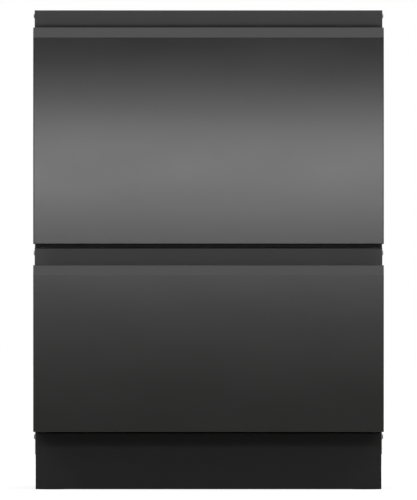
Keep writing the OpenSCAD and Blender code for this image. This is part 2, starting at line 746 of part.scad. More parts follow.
// Filter plate over the pump well, and the drain filter cup beside it
module filter(d) {
    z = tub_floor(d) + gap;
    plate_r = well_r + 14;
    color([0.6, 0.6, 0.62]) {
        translate([0, tub_mid_y, z]) difference() {
            rotate_extrude() polygon([[hub_r + 6, 3], [hub_r + 6, 6], [well_r - 20, 6], [well_r, plate_t + 1],
                [plate_r, plate_t], [plate_r, 0], [well_r - 4, 0], [well_r - 22, 3]]);
            for (a = [0 : 15 : 345]) rotate([0, 0, a]) {
                block([hub_r + 14, -1.5, -1], [well_r - 42, 1.5, 10]);
                block([well_r - 36, -2.5, -1], [well_r - 24, 2.5, 10]);
            }
        }
        translate([filter_x, tub_mid_y, well_floor(d) + gap]) difference() {
            union() {
                cylinder(r = filter_r - 2, h = well_depth);
                translate([0, 0, well_depth]) cylinder(r = filter_r + 4, h = plate_t);
            }
            translate([0, 0, 1.5]) cylinder(r = filter_r - 4, h = 30);
            for (a = [0 : 20 : 340]) rotate([0, 0, a])
                block([filter_r - 6, -1.5, 4], [filter_r, 1.5, well_depth - 3]);
        }
        translate([filter_x, tub_mid_y, well_floor(d) + gap]) {
            block([-filter_r + 3, -1.5, 1], [filter_r - 3, 1.5, well_depth + 6]);
            cylinder(r = 5, h = well_depth + 8);
        }
    }
}

// ---------- rack ----------

// Straight wires along each axis
module wire_x(x0, x1, y, z, r) {
    translate([x0, y, z]) rotate([0, 90, 0]) cylinder(r = r, h = x1 - x0);
}
module wire_y(y0, y1, x, z, r) {
    translate([x, y1, z]) rotate([90, 0, 0]) cylinder(r = r, h = y1 - y0);
}
module wire_z(z0, z1, x, y, r) {
    translate([x, y, z0]) cylinder(r = r, h = z1 - z0);
}

// A quarter bend in the XY plane, from the +X side to the +Y side of its centre
module wire_corner(bend_r, r) { rotate_extrude(angle = 90) translate([bend_r, 0]) circle(r = r); }

// A wire that runs down, along and up again, in the XZ plane, 2 * x wide
module cradle_wire(x, z0, z1) {
    flat = x - wire_bend;
    wire_x(weld_gap - flat, flat - weld_gap, 0, z0, wire_r);
    mirror_x() {
        wire_z(z0 + wire_bend + weld_gap, z1, x, 0, wire_r);
        translate([flat, 0, z0 + wire_bend]) rotate([-90, 0, 0]) wire_corner(wire_bend, wire_r);
    }
}

// A level loop of four straight lengths and four bends
module wire_loop(inset, z, r) {
    x = rack_x - inset;
    y0 = rack_y0 + inset;
    y1 = rack_y1 - inset;
    off = loop_bend + weld_gap;
    for (y = [y0, y1]) wire_x(off - x, x - off, y, z, r);
    mirror_x() {
        wire_y(y0 + off, y1 - off, x, z, r);
        translate([x - loop_bend, y1 - loop_bend, z]) wire_corner(loop_bend, r);
        translate([x - loop_bend, y0 + loop_bend, z]) rotate([0, 0, -90]) wire_corner(loop_bend, r);
    }
}

// Wire rack: bent wires lengthways, bent wires across them, two loops, fixed tines, feet and fold eyes.
// Lengths of wire are weld_gap apart where they are welded to each other
module rack(d) {
    z_floor = tub_floor(d);
    z0 = rack_z(d);
    z_cross = cross_z(d);
    z_end = rack_top(d) + wire_top;
    foot_rows = [rows_y[1] - 8, rows_y[len(rows_y) - 2] + 8];
    color([0.75, 0.76, 0.78]) {
        for (x = rows_x) translate([x, (rack_y0 + rack_y1) / 2, 0]) rotate([0, 0, 90])
            cradle_wire((rack_y1 - rack_y0) / 2, z0, z_end);
        for (y = rows_y) translate([0, y, 0]) cradle_wire(rack_x, z_cross, z_end);
        wire_loop(rail_in, rack_top(d), rail_r);
        wire_loop(mid_in, z0 + mid_up, wire_r);
        for (i = [1 : 2 : len(rows_y) - 2]) if (i != fold_row) for (x = tine_xs)
            wire_z(z_cross - wire_r, z_cross + tine_h, x, rows_y[i] + tine_side, wire_r);
        for (x = fold_eyes) fold_eye(x, rows_y[fold_row], z_cross + fold_axis_up);
        for (x = [rows_x[1], rows_x[len(rows_x) - 2]], y = foot_rows) {
            wire_z(z_floor + gap, z0 - wire_r - weld_gap, x, y, wire_r + 1);
            wire_z(z_floor + gap, z_floor + 7, x, y, wire_r + 3);
        }
    }
}

fold_eyes = [tine_x0 - tine_pitch / 2, (tine_x0 + tine_x1) / 2, tine_x1 + 4];

// An eye on a rack wire that the folding row turns in
module fold_eye(x, y, z) {
    translate([x - 2, y, z]) rotate([0, 90, 0]) difference() {
        cylinder(r = eye_r, h = 4);
        translate([0, 0, -1]) cylinder(r = wire_r + run_gap, h = 6);
    }
}

// The folding tines: one axis wire with tines between the fixed rows
module tine_row(d) {
    y = rows_y[fold_row];
    z = cross_z(d) + fold_axis_up;
    color([0.8, 0.81, 0.83]) {
        wire_x(fold_eyes[0] - 6, fold_eyes[2] + 5, y, z, wire_r);
        for (x = tine_xs) if (x < tine_x1 - tine_pitch / 2)
            wire_z(z, cross_z(d) + tine_h, x + tine_pitch / 2 - 3, y, wire_r);
    }
}

// Cup shelf that clips round the rack's top rail and folds down from it
module cup_rack(d) {
    x = rack_x - rail_in;
    z = rack_top(d);
    shelf_w = 72;
    clips = [for (i = [2 : 3 : len(rows_y) - 2]) rows_y[i] + wire_pitch_y / 2];
    y0 = clips[0] - 24;
    y1 = clips[len(clips) - 1] + 24;
    color([0.45, 0.47, 0.5]) {
        difference() {
            block([x - 1.5, y0, z + rail_r + 3], [x + 1.5, y1, z + shelf_w]);
            for (y = [y0 + 12 : 18 : y1 - 12])
                block([x - 3, y - 5, z + rail_r + 12], [x + 3, y + 5, z + shelf_w - 10]);
        }
        block([x - 4, y0, z + shelf_w - 4], [x + 1.5, y1, z + shelf_w]);
        for (y = clips) {
            translate([x, y + 6, z]) rotate([90, 0, 0]) difference() {
                cylinder(r = rail_r + run_gap + 2.4, h = 12);
                translate([0, 0, -1]) cylinder(r = rail_r + run_gap, h = 14);
                block([-rail_r + 0.6, -rail_r - 4, -1], [rail_r - 0.6, 0, 14]);
            }
            block([x - 1.5, y - 6, z + rail_r + 1.5], [x + 1.5, y + 6, z + rail_r + 4]);
        }
    }
}

// Cutlery basket of clipped walls: two open bays either side of a handle wall
basket_w = 78;
basket_l = 210;
basket_h = 104;
basket_x = -rack_x + 18 + basket_w / 2;
module cutlery_basket(d) {
    z = cross_z(d) + wire_r + gap;
    y = tub_mid_y;
    end_x = basket_w / 2;
    end_y = basket_l / 2;
    corner = 6;
    wall = 2;
    floor_h = 2.5;
    wall_z = floor_h + weld_gap;
    slot_pitch = 17;
    slot_h = 24;
    slots_y = [for (y = [20 - end_y : slot_pitch : end_y - 20]) y];
    slots_z = [for (z = [12 : slot_h + 8 : basket_h - 30]) z];
    color([0.4, 0.42, 0.45]) translate([basket_x, y, z]) {
        linear_extrude(floor_h) polygon(round_rect(basket_w, basket_l, corner, 3));
        difference() {
            translate([0, 0, wall_z]) linear_extrude(basket_h - wall_z) difference() {
                polygon(round_rect(basket_w, basket_l, corner, 3));
                polygon(round_rect(basket_w - 2 * wall, basket_l - 2 * wall, corner - wall, 3));
            }
            for (x = [-basket_w, end_x - 5], y = slots_y, z = slots_z)
                block([x, y - 5, z], [x + end_x + 5, y + 5, z + slot_h]);
            for (x = [corner - end_x, end_x - corner - weld_gap])
                block([x, -end_y - 1, 0], [x + weld_gap, end_y + 1, basket_h + 1]);
            for (y = [corner - end_y, end_y - corner - weld_gap])
                block([-end_x - 1, y, 0], [end_x + 1, y + weld_gap, basket_h + 1]);
        }
        difference() {
            block([-1.5, wall + weld_gap - end_y, wall_z], [1.5, end_y - wall - weld_gap, basket_h + 34]);
            block([-5, 30 - end_y, basket_h + 8], [5, end_y - 30, basket_h + 24]);
        }
    }
}

// ---------- dispenser ----------

module dispenser(d) {
    z = disp_mid(d);
    hz = flap_hinge_z(d);
    body_x = disp_w / 2 - disp_lip - gap;
    body_z = disp_h / 2 - disp_lip - gap;
    color([0.42, 0.44, 0.47]) {
        difference() {
            union() {
                block([-disp_w / 2, in_y0 + gap, z - disp_h / 2],
                    [disp_w / 2, in_y0 + disp_face, z + disp_h / 2]);
                block([-body_x, in_y0 - disp_depth, z - body_z], [body_x, in_y0 + 1, z + body_z]);
            }
            block([flap_x - cup_w / 2, in_y0 - disp_depth + 2, z - cup_h / 2],
                [flap_x + cup_w / 2, in_y0 + 5, z + cup_h / 2]);
            translate([cap_x, in_y0 - 15, z]) rotate([-90, 0, 0]) cylinder(r = 11, h = 30);
        }
        for (s = [-1, 1]) flap_lug(flap_x + s * (flap_w / 2 - 3), hz);
    }
}

// A lug that the flap's pin turns in
module flap_lug(x, z) {
    difference() {
        union() {
            translate([x - lug_t / 2, flap_axis_y, z]) rotate([0, 90, 0]) cylinder(r = lug_r, h = lug_t);
            block([x - lug_t / 2, in_y0 + 1, z - lug_r], [x + lug_t / 2, flap_axis_y, z + lug_r]);
        }
        translate([x - lug_t, flap_axis_y, z]) rotate([0, 90, 0])
            cylinder(r = flap_pin_r + run_gap, h = 2 * lug_t);
    }
}

// The flap over the detergent cup, with its pin through the two lugs
module dispenser_flap(d) {
    z = disp_mid(d);
    hz = flap_hinge_z(d);
    x0 = flap_x - flap_w / 2;
    x1 = flap_x + flap_w / 2;
    back = flap_y - flap_t / 2;
    face = flap_y + flap_t / 2;
    barrel_in = 7;
    grip_pitch = 4;
    color([0.5, 0.52, 0.55]) {
        difference() {
            block([x0, back, z - flap_h / 2], [x1, face, z + flap_h / 2]);
            for (i = [-2 : 2]) translate([0, 0, z + 12 + i * grip_pitch])
                block([flap_x - 14, face - 0.8, 0], [flap_x + 14, face + 2, 1.5]);
        }
        block([x0 + barrel_in, back, hz], [x1 - barrel_in, face, z - flap_h / 2 + 1]);
        translate([x0 + barrel_in, flap_axis_y, hz]) rotate([0, 90, 0])
            cylinder(r = lug_r - 0.1, h = flap_w - 2 * barrel_in);
        translate([x0 + 1, flap_axis_y, hz]) rotate([0, 90, 0]) cylinder(r = flap_pin_r, h = flap_w - 2);
    }
}

// Quarter-turn cap of the rinse aid tank
module rinse_cap(d) {
    color([0.25, 0.35, 0.5]) translate([cap_x, in_y0 + disp_face + gap, disp_mid(d)]) rotate([-90, 0, 0]) {
        cylinder(r = 17, h = 3);
        cylinder(r = 14, h = 5);
        translate([0, 0, -12]) cylinder(r = 10.5, h = 13);
        block([-13, -2, 4], [13, 2, 9]);
    }
}

// ---------- lid ----------

// Tabs by which the actuators carry the lid
tab_w = 30;
tab_t = 4;
lid_x = tub_x + 4;
lid_y0 = tub_y0 + 4;
lid_y1 = tub_y1 + 4;
lid_mid_y = (lid_y0 + lid_y1) / 2;
lid_l = lid_y1 - lid_y0;
tab_end_x = inner_x - 8;

module lid(d) {
    z0 = lid_under(d);
    w = 2 * lid_x;
    cols = 8;
    rows = 7;
    edge_w = 22;
    rib_t = 3;
    cell_w = (w - 2 * edge_w) / cols;
    cell_l = (lid_l - 2 * edge_w) / rows;
    color([0.5, 0.52, 0.54]) translate([0, lid_mid_y, 0]) {
        difference() {
            translate([0, 0, z0]) linear_extrude(lid_t) polygon(lid_outline(0));
            for (i = [0 : cols - 1], j = [0 : rows - 1]) translate([
                -w / 2 + edge_w + (i + 0.5) * cell_w, -lid_l / 2 + edge_w + (j + 0.5) * cell_l, z0 + rib_t])
                linear_extrude(lid_t) square([cell_w - rib_t, cell_l - rib_t], center = true);
        }
        mirror_x() block([lid_x - 2, -tab_w / 2, lid_top(d) - tab_t], [tab_end_x, tab_w / 2, lid_top(d)]);
    }
}

// The lid's outline, moved in by i
function lid_outline(i) = round_rect(2 * (lid_x - i), lid_l - 2 * i, tub_corner + 2 - i, 4);

// A level ring of the seal, inset from the lid's edge
module seal_ring(inset, width, h) {
    linear_extrude(h) difference() {
        polygon(lid_outline(inset));
        polygon(lid_outline(inset + width));
    }
}

// The seal: a foot under the lid and a narrower bead that meets the tub's rim
module lid_seal(d) {
    bead_h = 2;
    color([0.12, 0.12, 0.12]) translate([0, lid_mid_y, 0]) {
        translate([0, 0, seal_under(d) + 1.5]) seal_ring(1, 7, seal_h - 1.5 - 0.01);
        translate([0, 0, seal_under(d)]) seal_ring(2.5, 2.5, bead_h);
    }
}

// The four lid lifters on the side panels, each with a slot that a lid tab rides in
module lid_actuators() {
    box_l = 110;
    motor_r = 9;
    y0 = lid_mid_y - box_l / 2;
    y1 = lid_mid_y + box_l / 2;
    slot_y = tab_w / 2 + gap;
    color([0.2, 0.2, 0.21]) for (d = [UPPER, LOWER]) let (low = lid_top(d) - tab_t - lid_lift)
        mirror_x() difference() {
            union() {
                block([lid_x + 6, y0, low - 8], [inner_x - gap, y1, lid_top(d) + 4]);
                translate([inner_x - 14, y1 - 22, low - 30]) cylinder(r = motor_r, h = 24);
            }
            block([lid_x, lid_mid_y - slot_y, low - gap],
                [tab_end_x + gap, lid_mid_y + slot_y, lid_top(d) + gap]);
        }
}

// ---------- link arms ----------

// An arm: a tray with cross ribs that holds the hoses, with a hole for a pin at one end or both
module link_arm(hole_a, hole_b) {
    wall = 2;
    end_l = 18;
    cells = 6;
    cell_l = (link_len - 2 * end_l) / cells;
    difference() {
        union() {
            cylinder(r = link_w / 2, h = link_t);
            translate([link_len, 0, 0]) cylinder(r = link_w / 2, h = link_t);
            block([0, -link_w / 2, 0], [link_len, link_w / 2, link_t]);
        }
        for (i = [0 : cells - 1]) translate([end_l + i * cell_l, 0, 0])
            block([0, -link_w / 2 + wall, wall], [cell_l - wall, link_w / 2 - wall, link_t + 1]);
        if (hole_a) translate([0, 0, -1]) cylinder(r = link_pin_r + run_gap, h = link_t + 2);
        if (hole_b) translate([link_len, 0, -1]) cylinder(r = link_pin_r + run_gap, h = link_t + 2);
    }
}

// The rear arm turns on the chassis pin and carries the elbow pin
module link_rear_arm(d) {
    color([0.18, 0.18, 0.2]) translate([link_x, link_back_y, link_z(d)]) rotate([0, 0, -link_angle]) {
        link_arm(true, false);
        translate([link_len, 0, link_t - 1]) cylinder(r = link_pin_r, h = link_t + 4);
    }
}

// The front arm runs back from the elbow to the tub, above the rear arm
module link_front_arm(d) {
    color([0.22, 0.22, 0.24]) translate([link_x + link_len * cos(link_angle), (link_back_y + link_tub_y) / 2,
        link_z(d) + link_t + link_gap]) rotate([0, 0, 180 + link_angle]) link_arm(true, true);
}

// ---------- services in the base ----------

// Electronics box with cooling ribs and the gland for the mains lead
module control_module() {
    y0 = plumb_y - 90;
    x0 = gland_x - 80;
    x1 = gland_x + 40;
    lid_z = base_z + 34;
    rib_pitch = 12;
    color([0.24, 0.25, 0.27]) difference() {
        union() {
            block([x0, y0, base_z + 1.5 + gap], [x1, plumb_y - 2, lid_z]);
            for (x = [x0 + 10 : rib_pitch : x1 - 10])
                block([x, y0 + 4, lid_z - 1], [x + 3, plumb_y - 20, lid_z + 3]);
            translate([gland_x, plumb_y - 4, service_z]) rotate([-90, 0, 0])
                cylinder(r = gland_r + 5, h = 4 + sheet + 20);
        }
        translate([gland_x, plumb_y - 30, service_z]) rotate([-90, 0, 0]) cylinder(r = gland_r, h = 70);
    }
}

// Inlet valve: threaded spigot, body, coil and the outlet that a hose goes on
module inlet_valve() {
    body_y = 42;
    coil_r = 12;
    color([0.85, 0.85, 0.83]) translate([inlet_x, plumb_y, service_z]) {
        rotate([-90, 0, 0]) difference() {
            translate([0, 0, -6]) cylinder(r = inlet_r, h = 6 + sheet + gap + spigot_l);
            translate([0, 0, 4]) cylinder(r = inlet_r - 3, h = 40);
        }
        block([-20, -body_y, -18], [20, 0, 18]);
        translate([0, coil_r - body_y, 10]) cylinder(r = coil_r, h = 20);
        translate([32, -24, 0]) rotate([0, -90, 0]) cylinder(r = 6, h = 14);
    }
}

// Drain outlet: spigot, flange and the block that the drain hose ends in
module drain_outlet() {
    color([0.2, 0.2, 0.2]) translate([drain_x, plumb_y, service_z]) {
        rotate([-90, 0, 0]) difference() {
            union() {
                translate([0, 0, -20]) cylinder(r = drain_r, h = 20 + sheet + gap + spigot_l);
                translate([0, 0, -3]) cylinder(r = drain_r + 10, h = 3);
            }
            translate([0, 0, -16]) cylinder(r = drain_r - 2.5, h = 80);
        }
        block([-24, -40, -16], [24, -14, 16]);
    }
}

// Supply hose and drain hose, up the back from the plumbing step to the upper link
hose_y = back_y - 16;
hoses = [[-rail_in_x + 12, 5], [-rail_in_x + 31, 7]];
module service_hoses() {
    color([0.15, 0.15, 0.16]) for (h = hoses)
        wire_z(step_z + gap, bottom(UPPER) + 20, h[0], hose_y, h[1]);
}

// ---------- what is drawn ----------

side_panel_left();
side_panel_right();
back_panel();
base_tray();
cross_rails();
kick_panel();
foot_front_left();
foot_front_right();
foot_rear_left();
foot_rear_right();
fixed_rails();
lid_actuators();
control_module();
inlet_valve();
drain_outlet();
service_hoses();

middle_rails(UPPER);  // upper_middle_rails
lid(UPPER);  // upper_lid
lid_seal(UPPER);  // upper_lid_seal
front_skin(UPPER);  // upper_front_skin
front_frame(UPPER);  // upper_front_frame
console(UPPER);  // upper_console
button(UPPER, -button_x);  // upper_power_button
button(UPPER, button_x);  // upper_start_button
tub(UPPER);  // upper_tub
rack(UPPER);  // upper_rack
tine_row(UPPER);  // upper_tine_row
cup_rack(UPPER);  // upper_cup_rack
cutlery_basket(UPPER);  // upper_cutlery_basket
spray_arm(UPPER);  // upper_spray_arm
filter(UPPER);  // upper_filter
wash_motor(UPPER);  // upper_wash_motor
dispenser(UPPER);  // upper_dispenser
dispenser_flap(UPPER);  // upper_dispenser_flap
rinse_cap(UPPER);  // upper_rinse_cap
link_rear_arm(UPPER);  // upper_link_rear_arm
link_front_arm(UPPER);  // upper_link_front_arm
inner_rails(UPPER);  // upper_inner_rails

middle_rails(LOWER);  // lower_middle_rails
lid(LOWER);  // lower_lid
lid_seal(LOWER);  // lower_lid_seal
front_skin(LOWER);  // lower_front_skin
front_frame(LOWER);  // lower_front_frame
console(LOWER);  // lower_console
button(LOWER, -button_x);  // lower_power_button
button(LOWER, button_x);  // lower_start_button
tub(LOWER);  // lower_tub
rack(LOWER);  // lower_rack
tine_row(LOWER);  // lower_tine_row
cup_rack(LOWER);  // lower_cup_rack
cutlery_basket(LOWER);  // lower_cutlery_basket
spray_arm(LOWER);  // lower_spray_arm
filter(LOWER);  // lower_filter
wash_motor(LOWER);  // lower_wash_motor
dispenser(LOWER);  // lower_dispenser
dispenser_flap(LOWER);  // lower_dispenser_flap
rinse_cap(LOWER);  // lower_rinse_cap
link_rear_arm(LOWER);  // lower_link_rear_arm
link_front_arm(LOWER);  // lower_link_front_arm
inner_rails(LOWER);  // lower_inner_rails
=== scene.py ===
"""Looks of a double dishwasher drawer, as an add-on with one operator for each group of pieces.

The frame is that of the construction model: +X right, -Y the front, +Z up. Blender's own sizes
and the lamps are in metres. The sizes of the fittings are in millimetres.
"""

import json
import math

import bmesh
import bpy
from mathutils import Matrix, Vector


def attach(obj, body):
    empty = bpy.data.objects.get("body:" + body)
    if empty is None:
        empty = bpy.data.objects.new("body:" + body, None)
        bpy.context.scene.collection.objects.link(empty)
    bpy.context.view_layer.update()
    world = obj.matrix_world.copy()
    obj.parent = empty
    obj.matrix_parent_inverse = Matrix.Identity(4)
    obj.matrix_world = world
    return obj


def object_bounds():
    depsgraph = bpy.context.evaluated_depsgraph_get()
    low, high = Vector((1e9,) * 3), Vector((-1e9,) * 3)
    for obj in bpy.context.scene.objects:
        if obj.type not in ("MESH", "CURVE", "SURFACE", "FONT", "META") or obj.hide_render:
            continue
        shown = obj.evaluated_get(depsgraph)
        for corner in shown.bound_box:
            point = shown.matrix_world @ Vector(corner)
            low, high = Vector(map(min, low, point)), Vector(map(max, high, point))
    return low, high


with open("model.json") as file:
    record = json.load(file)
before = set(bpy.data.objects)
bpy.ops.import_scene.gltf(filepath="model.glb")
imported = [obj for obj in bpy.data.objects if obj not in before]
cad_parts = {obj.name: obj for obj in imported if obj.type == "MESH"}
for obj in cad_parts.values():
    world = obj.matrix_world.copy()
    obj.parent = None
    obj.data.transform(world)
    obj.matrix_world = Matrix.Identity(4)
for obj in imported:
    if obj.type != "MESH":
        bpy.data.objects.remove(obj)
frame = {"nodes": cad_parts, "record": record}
model_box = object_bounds()

bl_info = {
    "name": "Double dishwasher drawer",
    "version": (1, 0, 0),
    "blender": (4, 5, 0),
    "location": "3D view > Sidebar > Dishwasher",
    "description": "Finishes and small fittings of a double dishwasher drawer",
    "category": "Object",
}

MM = 0.001
DRAWERS = ("upper", "lower")

# Heights above the floor of what the fittings sit on
LEVELS = {
    "upper": {
        "console": 820.0,
        "tub_floor": 465.5,
        "tines": 580.05,
        "wires": 658.2,
        "dispenser": 718.2,
        "pad": (560.0, 740.0),
    },
    "lower": {
        "console": 414.0,
        "tub_floor": 144.5,
        "tines": 259.05,
        "wires": 269.2,
        "dispenser": 312.2,
        "pad": (240.0, 335.0),
    },
}
TUB_MIDDLE_Y = 12.0

# Level strip lamps before the fronts: name, lower edge and upper edge in metres, power in watts
STRIP_LAMPS = (
    ("strip_lamp_1", 0.20, 0.30, 0.14),
    ("strip_lamp_2", 0.30, 0.40, 0.19),
    ("strip_lamp_3", 0.40, 0.48, 0.67),
    ("strip_lamp_4", 0.48, 0.54, 0.78),
    ("strip_lamp_5", 0.54, 0.60, 1.82),
    ("strip_lamp_6", 0.60, 0.66, 0.80),
)
STRIP_LAMP_WIDTH = 2.4

# Lamps of the room: name, place, width and height in metres, power in watts
ROOM_LAMPS = (
    ("high_left_lamp", (-2.2, -1.6, 2.6), (1.6, 1.6), 16),
    ("high_right_lamp", (2.4, -0.6, 2.4), (1.6, 1.6), 12),
    ("rear_lamp", (0.6, 2.6, 2.0), (2.0, 1.6), 30),
)
ROOM_LAMP_TARGET = (0, 0, 0.4)

# Rubber strip on the lower edge of the upper front: its two corners
GAP_SEAL = ((-296.5, -255.0, 414.6), (296.5, -252.6, 421.0))
# Gaskets of the side panels: middle along X, half width, and their ends along Y and Z
GASKET_X, GASKET_HALF = 291.1, 5.5
GASKET_Y, GASKET_Z = (-249.9, -248.5), (105.0, 816.0)
RUBBER_ROUNDING = 0.6

# Screws of a side panel by Y and Z, and of the plumbing plate by X and Z, and where they sit
SIDE_SCREW_X = 297.0
SIDE_SCREWS = ((-201, 811), (261, 811), (-201, 405), (261, 420), (-170, 90), (217, 90))
PLATE_SCREW_Y = 258.5
PLATE_SCREWS = ((-270, 92), (270, 92), (-270, 70), (270, 70), (40, 84))

# Feet by the X and Y of their stems, and the outline of a stem's thread
FEET = {
    "front_left": (-269, -188.5),
    "front_right": (269, -188.5),
    "rear_left": (-269, 225.5),
    "rear_right": (269, 225.5),
}
FOOT_THREAD = ((0, 18.2), (6.04, 18.2), (6.04, 134.6), (5.4, 135.2), (0, 135.2))
INLET_PLACE = (-200, 258.8, 82)
INLET_THREAD = ((13.21, 0), (13.3, 0), (13.3, 23.7), (13.21, 23.7))

# Light guides: how many lie on each side of the middle one, spacing, place along Y and outline
GUIDES_EACH_SIDE, GUIDE_PITCH, GUIDE_Y = 3, 18, -239.25
GUIDE = ((0, -6), (1.4, -6), (1.4, -0.5), (1.0, -0.15), (0, -0.05))

# Damping pads: middle and half thickness along X, ends along Y, and rounding
PAD_X, PAD_HALF, PAD_Y, PAD_ROUNDING = 264.0, 2, (-150, 180), 1.2

# Spray arm: its top above the tub's floor, and its holes from the first to the last along X,
# each a step further along Y
ARM_TOP = 24.5
NOZZLES, NOZZLE_FIRST, NOZZLE_SPAN = 6, 60, 133
NOZZLE_Y, NOZZLE_STEP = -5, -1.6
NOZZLE_RIM = ((2.1, -0.2), (3.7, -0.2), (3.5, 0.8), (2.9, 1.2), (2.3, 0.9))
# Cap on the hub: its height above the arm's top, its outline and its grips
CAP_LIFT = 5.0
HUB_CAP = ((0, 0.05), (11.8, 0.05), (11.8, 1.4), (10.6, 3.0), (7.5, 3.8), (0, 4.0))
CAP_GRIPS = 8
CAP_GRIP = ((9.4, -0.9, 1.2), (11.4, 0.9, 3.6))

# Rack wires: the places of their ends, of the rows of tines and of the tines in a row
WIRE_TIP = ((2.06, -1.2), (2.06, 0), (1.78, 1.03), (1.03, 1.78), (0, 2.06))
WIRE_COLUMNS = tuple(44 * i for i in range(-5, 6))
WIRE_ROWS = tuple(-190 + 40 * i for i in range(11))
WIRE_END_X, WIRE_END_Y = (-243, 243), (-203, 227)
TINES = tuple(-120 + 30 * i for i in range(12))
FIXED_TINE_ROWS, TINE_BEHIND_ROW = (1, 5, 7, 9), 4.05
FOLDING_TINE_ROW, FOLDING_TINE_SHIFT = 3, 12

# Window of the dispenser: its X, its Y, its height above the dispenser's foot and its outline
WINDOW_X, WINDOW_Y, WINDOW_LIFT = 64, -216.0, 22
WINDOW = ((0, 0), (4.2, 0), (4.2, 0.35), (3.6, 0.6), (0, 0.9))


# ---------- colours and nodes ----------


def srgb(code):
    """Linear red, green, blue and alpha of an sRGB hex colour."""
    parts = [int(code[i : i + 2], 16) / 255 for i in (1, 3, 5)]
    linear = [c / 12.92 if c <= 0.04045 else ((c + 0.055) / 1.055) ** 2.4 for c in parts]
    return (*linear, 1.0)


def add(tree, kind, links=None, **settings):
    """Adds a node; links maps each input to a value or to another node's output."""
    node = tree.nodes.new(kind)
    for key, value in settings.items():
        setattr(node, key, value)
    for key, value in (links or {}).items():
        if isinstance(value, bpy.types.NodeSocket):
            tree.links.new(value, node.inputs[key])
        else:
            node.inputs[key].default_value = value
    return node


def colour_prop(name, description, code):
    """A colour that a user would change."""
    return bpy.props.FloatVectorProperty(
        name=name,
        description=description,
        subtype="COLOR",
        size=4,
        min=0.0,
        max=1.0,
        default=srgb(code),
    )


def length_prop(name, description, millimetres):
    """A size that a user would change, kept in metres."""
    return bpy.props.FloatProperty(
        name=name,
        description=description,
        default=millimetres * MM,
        min=0.0,
        unit="LENGTH",
        precision=4,
    )


class FinishSettings(bpy.types.PropertyGroup):
    """Colours and grain of the finishes."""

    front_steel: colour_prop("Front steel", "Dark stainless steel of the drawer fronts", "#595959")
    console: colour_prop("Console", "Dark sheet behind the finger recess", "#454545")
    kick: colour_prop("Kick panel", "Black powder coat of the kick panel", "#323232")
    zinc: colour_prop("Zinc", "Galvanised sheet of the chassis", "#b9bcbe")
    runner: colour_prop("Runner steel", "Zinc plated steel of the runners", "#c3c6c8")
    tub: colour_prop("Tub", "Grey moulding of the tubs", "#8f9599")
    lid: colour_prop("Lid", "Grey moulding of the lids", "#858b90")
    wire: colour_prop("Rack coating", "Nylon coating of the rack wires", "#b4b8bc")
    basket: colour_prop("Baskets", "Dark grey moulding of baskets and shelves", "#565b61")
    arm: colour_prop("Spray arms", "Grey moulding of spray arms and filters", "#7f858a")
    black: colour_prop("Black plastic", "Black moulding of frames and housings", "#2a2b2d")
    rubber: colour_prop("Rubber", "Rubber of seals and hoses", "#1d1d1e")
    nylon: colour_prop("White nylon", "White moulding of the inlet valve", "#d8d8d2")
    cap: colour_prop("Rinse cap", "Blue grey moulding of the rinse aid cap", "#4a6583")
    guide: colour_prop("Light guides", "Smoke grey acrylic of the light guides", "#8d9296")
    bitumen: colour_prop("Damping pads", "Bitumen of the damping pads on the tubs", "#262423")
    brush_grain: length_prop("Brush grain", "Spacing of the brushed lines of the fronts", 0.35)
    spangle: length_prop("Zinc spangle", "Size of the crystals on galvanised sheet", 9.0)
    mould_grain: length_prop("Mould grain", "Spacing of the grain of moulded plastic", 0.6)


class StageSettings(bpy.types.PropertyGroup):
    """Camera, lamps and floor."""

    camera_distance: length_prop("Camera distance", "From the drawer fronts to the camera", 28000)
    field_height: length_prop("Field height", "Height that the picture shows at the fronts", 854.0)
    picture_middle: length_prop("Picture middle", "Height of its middle above the floor", 409.9)
    lamp_distance: length_prop("Lamp distance", "From the fronts to the strip lamps", 1100)
    floor_size: length_prop("Floor size", "Side of the square floor", 60000)


# ---------- materials ----------


def new_material(name):
    """An empty node material with its output, its shader and its Object coordinates."""
    material = bpy.data.materials.new(name)
    material.use_nodes = True
    tree = material.node_tree
    tree.nodes.clear()
    shader = add(tree, "ShaderNodeBsdfPrincipled")
    add(tree, "ShaderNodeOutputMaterial", {"Surface": shader.outputs["BSDF"]})
    place = add(tree, "ShaderNodeTexCoord").outputs["Object"]
    return material, tree, shader, place


def noise(tree, place, spacing, stretch=(1, 1, 1), detail=2.0, roughness=0.5):
    """Noise with features spacing metres apart, longer along an axis with a stretch below 1."""
    scale = [s / spacing for s in stretch]
    mapped = add(tree, "ShaderNodeMapping", {"Vector": place, "Scale": scale})
    return add(
        tree,
        "ShaderNodeTexNoise",
        {
            "Vector": mapped.outputs["Vector"],
            "Scale": 1.0,
            "Detail": detail,
            "Roughness": roughness,
        },
    ).outputs["Fac"]


def spread(tree, value, low, high, start=0.3, end=0.7):
    """The value mapped from start..end to low..high."""
    return add(
        tree,
        "ShaderNodeMapRange",
        {"Value": value, "From Min": start, "From Max": end, "To Min": low, "To Max": high},
    ).outputs["Result"]


def tinted(tree, colour, value, dark, light):
    """The colour made darker and lighter by a pattern."""
    level = spread(tree, value, dark, light)
    channels = {"Red": level, "Green": level, "Blue": level}
    grey = add(tree, "ShaderNodeCombineColor", channels).outputs["Color"]
    mix = add(tree, "ShaderNodeMix", data_type="RGBA", blend_type="MULTIPLY")
    mix.inputs["Factor"].default_value = 1.0
    mix.inputs[6].default_value = colour
    tree.links.new(grey, mix.inputs[7])
    return mix.outputs[2]


def bump(tree, height, depth, strength=1.0, under=None):
    """Bump whose full height is depth metres, over another normal where one is given."""
    links = {"Height": height, "Distance": depth, "Strength": strength}
    if under is not None:
        links["Normal"] = under
    return add(tree, "ShaderNodeBump", links).outputs["Normal"]


def finish_shader(tree, shader, **sockets):
    """Sets or links the shader's own sockets."""
    for key, value in sockets.items():
        socket = shader.inputs[key.replace("_", " ")]
        if isinstance(value, bpy.types.NodeSocket):
            tree.links.new(value, socket)
        else:
            socket.default_value = value


